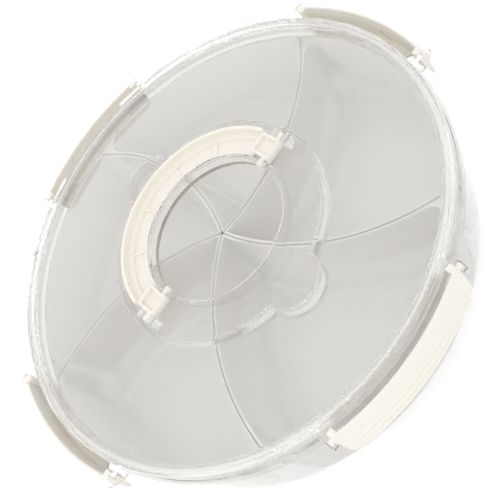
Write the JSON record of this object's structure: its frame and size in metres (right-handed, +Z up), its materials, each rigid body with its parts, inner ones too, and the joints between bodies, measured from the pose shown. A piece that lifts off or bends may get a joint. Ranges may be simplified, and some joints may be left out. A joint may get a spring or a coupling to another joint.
{
  "type": "round compartment tray with lid",
  "caption": "Round clear tray with curved dividers, a clear lid with a folding half-ring handle in a sunk well, and swinging side latches.",
  "frame": {"origin": "middle of the base's underside, on the surface that the tray stands on", "axes": "+Z up; -Y towards the front latch; the folded handle lies on the +Y side, its pivot axis along X"},
  "size_m": [0.3286, 0.3286, 0.074],
  "materials": {
    "clear_plastic": "clear polished",
    "silicone": "translucent satin",
    "ivory_plastic": "satin"
  },
  "bodies": {
    "base": {"base_tray": "clear_plastic"},
    "lid": {"lid": "clear_plastic", "lid_seal": "silicone"},
    "handle": {"carry_handle": "ivory_plastic"},
    "latch_right": {"latch_right": "ivory_plastic"},
    "latch_rear": {"latch_rear": "ivory_plastic"},
    "latch_left": {"latch_left": "ivory_plastic"},
    "latch_front": {"latch_front": "ivory_plastic"}
  },
  "joints": [
    {"name": "lid_lift", "type": "slide", "parent": "base", "child": "lid", "axis": [0, 0, 1], "range_m": [0, 0.12]},
    {"name": "handle_fold", "type": "hinge", "parent": "lid", "child": "handle", "pos_m": [0, 0, 0.0673], "axis": [1, 0, 0], "range_deg": [0, 180]},
    {"name": "latch_right_swing", "type": "hinge", "parent": "lid", "child": "latch_right", "pos_m": [0.153, 0, 0.0675], "axis": [0, -1, 0], "range_deg": [0, 95]},
    {"name": "latch_rear_swing", "type": "hinge", "parent": "lid", "child": "latch_rear", "pos_m": [0, 0.153, 0.0675], "axis": [1, 0, 0], "range_deg": [0, 95]},
    {"name": "latch_left_swing", "type": "hinge", "parent": "lid", "child": "latch_left", "pos_m": [-0.153, 0, 0.0675], "axis": [0, 1, 0], "range_deg": [0, 95]},
    {"name": "latch_front_swing", "type": "hinge", "parent": "lid", "child": "latch_front", "pos_m": [0, -0.153, 0.0675], "axis": [-1, 0, 0], "range_deg": [0, 95]}
  ]
}
